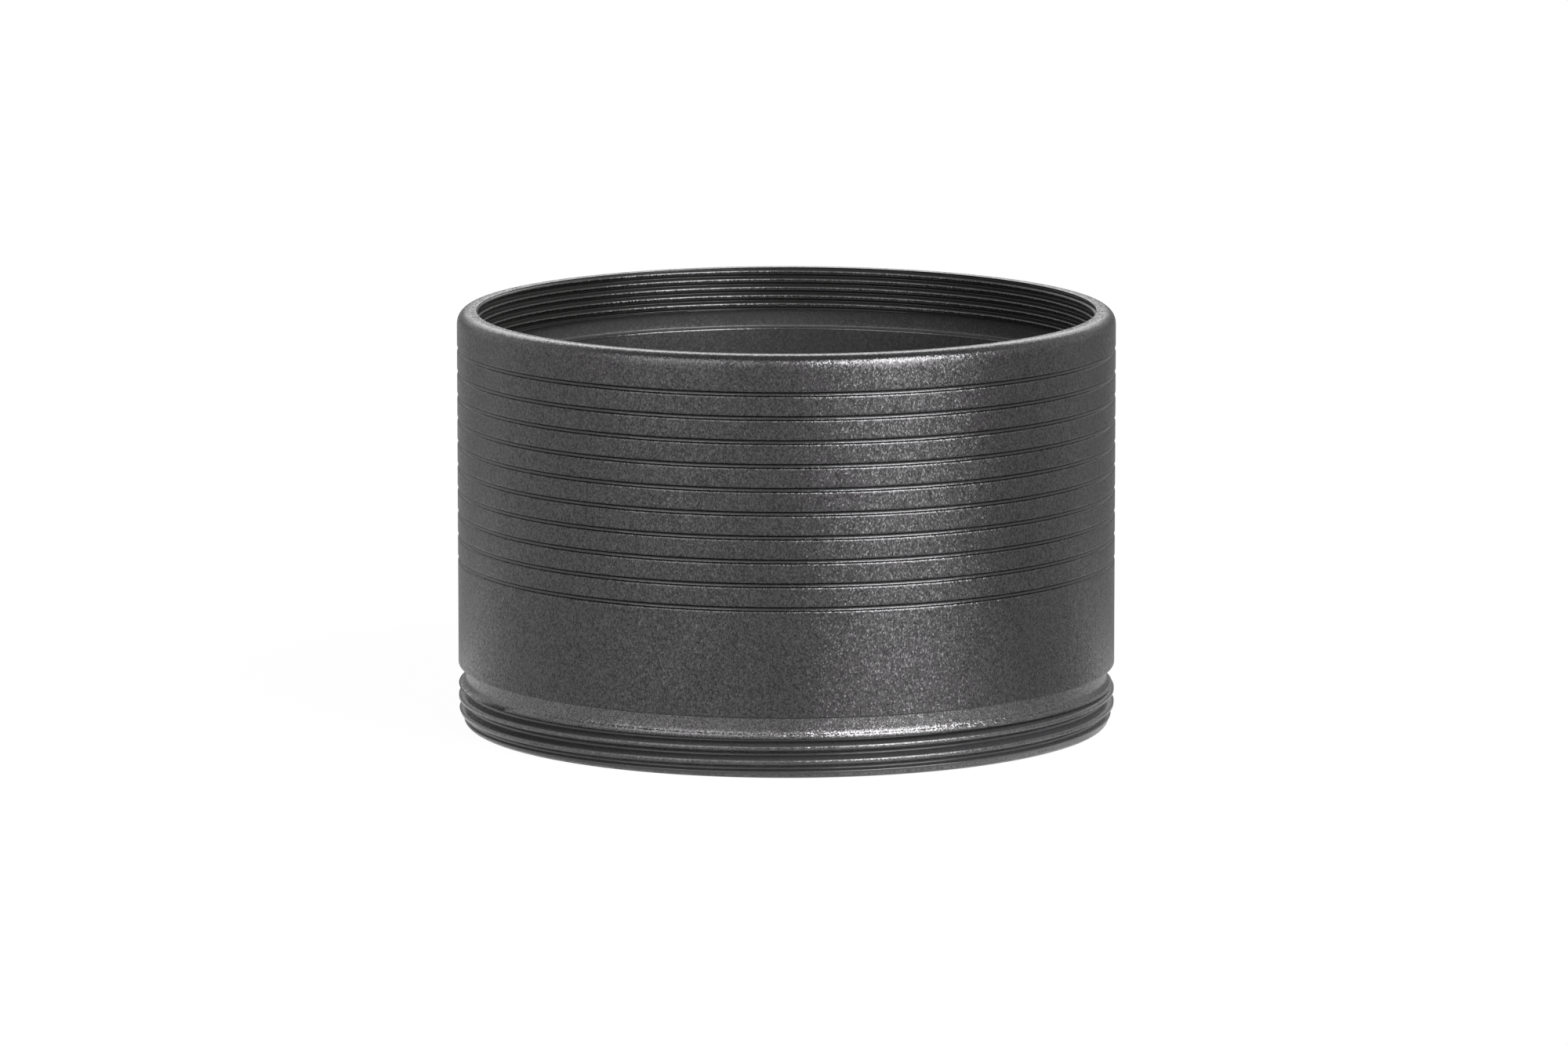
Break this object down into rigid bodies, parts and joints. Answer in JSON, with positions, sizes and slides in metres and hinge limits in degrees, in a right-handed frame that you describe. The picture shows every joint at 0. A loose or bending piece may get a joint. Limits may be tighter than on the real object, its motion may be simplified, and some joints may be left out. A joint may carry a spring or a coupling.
{
  "type": "telescope nosepiece adapter",
  "caption": "Thin walled tube with fine ring grooves round its barrel, a female filter thread in its rounded end and a male thread behind a neck at the other.",
  "frame": {"origin": "centre of the foot's end face, the end with the male thread", "axes": "+Z along the optical axis, up, from the male thread towards the rim with the filter thread; X and Y are free, because the part is round"},
  "size_m": [0.0508, 0.0508, 0.0322],
  "materials": {
    "black_anodised_aluminium": "bead blasted and black anodised, finely sparkling satin, glossier in the threads"
  },
  "bodies": {
    "root": {"nosepiece_body": "black_anodised_aluminium"}
  },
  "joints": []
}
